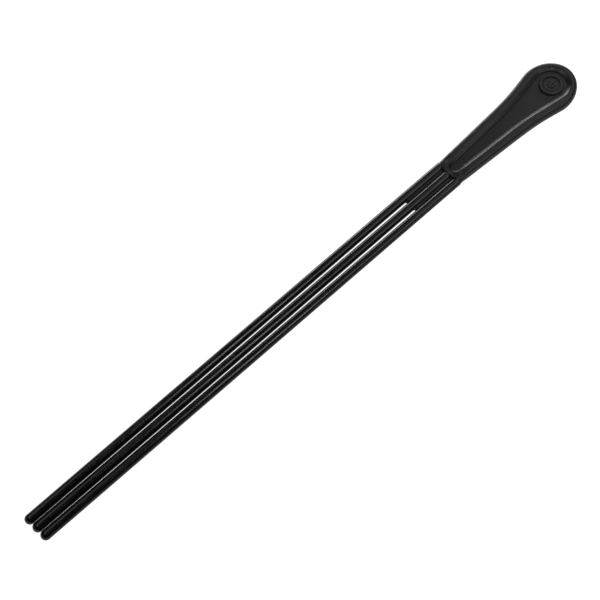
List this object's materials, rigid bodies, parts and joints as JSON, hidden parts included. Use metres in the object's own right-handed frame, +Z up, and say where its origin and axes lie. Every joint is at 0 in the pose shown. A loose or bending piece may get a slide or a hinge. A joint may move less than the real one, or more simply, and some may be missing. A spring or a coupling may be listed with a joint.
{
  "type": "multi-rod percussion beater",
  "caption": "Flat teardrop plastic grip with parallel flexible rods, joined by webs at their roots, for striking a small frame drum.",
  "frame": {"origin": "centre of the bounding box's underside, on the plane the grip rests on", "axes": "+X from the rod tips to the grip's head along the beater, +Y across the three rods, +Z up through the flat grip"},
  "size_m": [0.35, 0.0268, 0.0058],
  "materials": {
    "grip_plastic": "satin moulded black plastic",
    "core_plastic": "fine matte moulded black plastic",
    "badge_plastic": "satin moulded black plastic",
    "rod_plastic": "satin drawn black plastic"
  },
  "bodies": {
    "grip": {"grip_rim_upper": "grip_plastic", "grip_rim_lower": "grip_plastic", "grip_core": "core_plastic", "badge_upper": "badge_plastic", "badge_lower": "badge_plastic", "rod_root_left": "rod_plastic", "rod_root_middle": "rod_plastic", "rod_root_right": "rod_plastic", "rod_web_left": "rod_plastic", "rod_web_right": "rod_plastic"},
    "left_rod": {"rod_left": "rod_plastic"},
    "middle_rod": {"rod_middle": "rod_plastic"},
    "right_rod": {"rod_right": "rod_plastic"}
  },
  "joints": [
    {"name": "left_rod_flex", "type": "hinge", "parent": "grip", "child": "left_rod", "pos_m": [0.028, 0.0054, 0.0029], "axis": [0, 1, 0], "range_deg": [-12, 12], "stiffness_Nm_per_rad": 0.56},
    {"name": "middle_rod_flex", "type": "hinge", "parent": "grip", "child": "middle_rod", "pos_m": [0.028, 0, 0.0029], "axis": [0, 1, 0], "range_deg": [-12, 12], "stiffness_Nm_per_rad": 0.56},
    {"name": "right_rod_flex", "type": "hinge", "parent": "grip", "child": "right_rod", "pos_m": [0.028, -0.0054, 0.0029], "axis": [0, 1, 0], "range_deg": [-12, 12], "stiffness_Nm_per_rad": 0.56}
  ]
}
